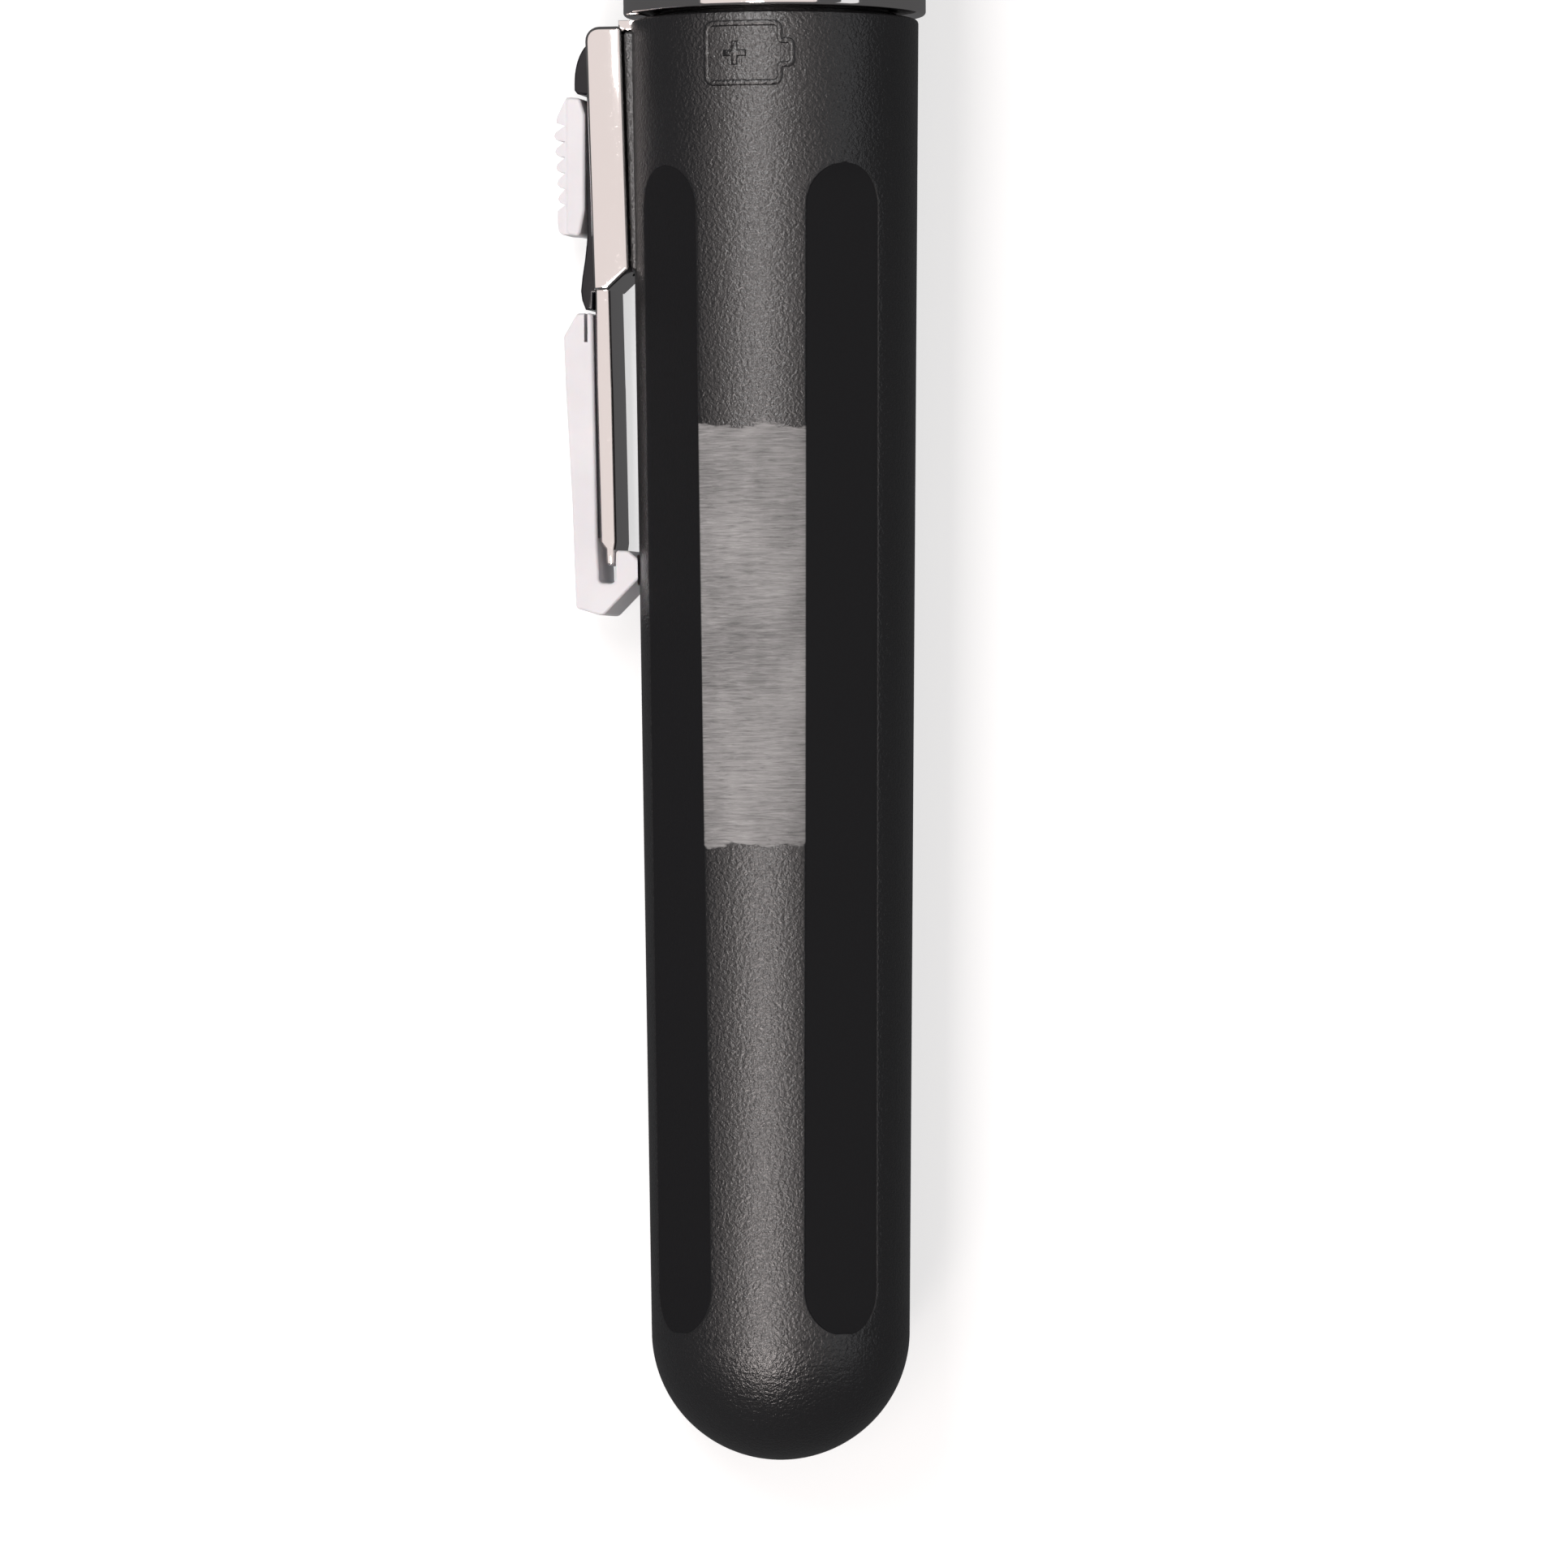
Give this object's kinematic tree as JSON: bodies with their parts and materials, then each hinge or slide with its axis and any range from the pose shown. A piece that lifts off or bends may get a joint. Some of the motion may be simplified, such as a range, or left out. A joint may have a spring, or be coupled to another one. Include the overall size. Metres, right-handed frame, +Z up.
{
  "type": "counterfeit detector pen",
  "caption": "Pen-shaped banknote tester: tapered black barrel with grip flats and ball end, chrome collar, screw-on nose, chrome pocket clip with white thumb slider and hooked tip.",
  "frame": {"origin": "on the table the pen lies on, under the middle of its box", "axes": "+Y along the pen towards the nose (the pen leans about 1 degree down to its butt), +Z up from the table, the clip on the -X side and rolled about 33 degrees down until its white tip touches the table"},
  "size_m": [0.0226, 0.1348, 0.0194],
  "materials": {
    "barrel": "black ABS with a fine leathery spark-eroded grain, smoother in the grip flats, one worn patch",
    "head_plastic": "black moulded ABS",
    "gloss_black": "black plastic, polished",
    "chrome": "bright chrome plating on moulded plastic",
    "white_plastic": "white moulded plastic, satin",
    "brass": "stamped brass, satin",
    "spring_steel": "nickel-plated spring steel",
    "head_metal": "polished metal shield",
    "seal_rubber": "black nitrile rubber",
    "cell_wrap": "plain shrink wrap on a dry cell",
    "board": "green solder mask on glass-epoxy board",
    "dark_parts": "black moulded epoxy",
    "ceramic_parts": "fired ceramic",
    "violet_lamp": "pale violet lamp epoxy",
    "red_lens": "translucent red plastic",
    "clear_lens": "clear polished window"
  },
  "bodies": {
    "barrel": {"barrel": "barrel", "battery_rear": "cell_wrap", "battery_front": "cell_wrap", "butt_contact_plate": "spring_steel", "butt_spring": "spring_steel", "ground_strip": "brass", "switch_body": "head_plastic", "head_terminal": "brass", "clip_frame": "chrome", "clip_screw": "spring_steel", "clip_cover": "gloss_black"},
    "slider": {"thumb_slider": "white_plastic", "slider_carrier": "head_plastic", "wiper_contact": "brass"},
    "clip_spring_arm": {"clip_arm": "chrome", "clip_liner": "gloss_black", "clip_tip": "white_plastic"},
    "collar": {"collar_ring": "chrome"},
    "head": {"head_shell": "head_plastic", "threaded_spigot": "head_plastic", "seal_ring": "seal_rubber", "ring_contact": "brass", "contact_carrier": "head_plastic", "front_spring": "spring_steel", "circuit_board": "board", "amplifier_chip": "dark_parts", "lamp_resistor": "ceramic_parts", "smoothing_capacitor": "ceramic_parts", "sounder": "dark_parts", "indicator_lamp": "red_lens", "indicator_window": "red_lens", "nose_bezel": "chrome", "nose_plate": "head_plastic", "lamp_lens": "clear_lens", "ultraviolet_lamp": "violet_lamp", "lamp_holder": "white_plastic", "reading_head": "head_metal", "bias_magnet": "dark_parts"}
  },
  "joints": [
    {"name": "switch_slide", "type": "slide", "parent": "barrel", "child": "slider", "axis": [0, -0.9999, -0.0169], "range_m": [0, 0.002]},
    {"name": "clip_flex", "type": "hinge", "parent": "barrel", "child": "clip_spring_arm", "pos_m": [-0.00754, 0.00742, 0.00349], "axis": [0.5392, 0.0142, -0.8421], "range_deg": [0, 6], "stiffness_Nm_per_rad": 0.8, "springref_deg": -2.86},
    {"name": "collar_lift", "type": "slide", "parent": "barrel", "child": "collar", "axis": [0, 0.9999, 0.0169], "range_m": [0, 0.0045]},
    {"name": "head_turn", "type": "hinge", "parent": "collar", "child": "head", "pos_m": [0.00164, 0.02462, 0.00966], "axis": [0, 0.9999, 0.0169], "range_deg": [0, 1080]}
  ],
  "couplings": [
    {"joint": "collar_lift", "follows": "head_turn", "m_per_rad": 0.00023873}
  ]
}
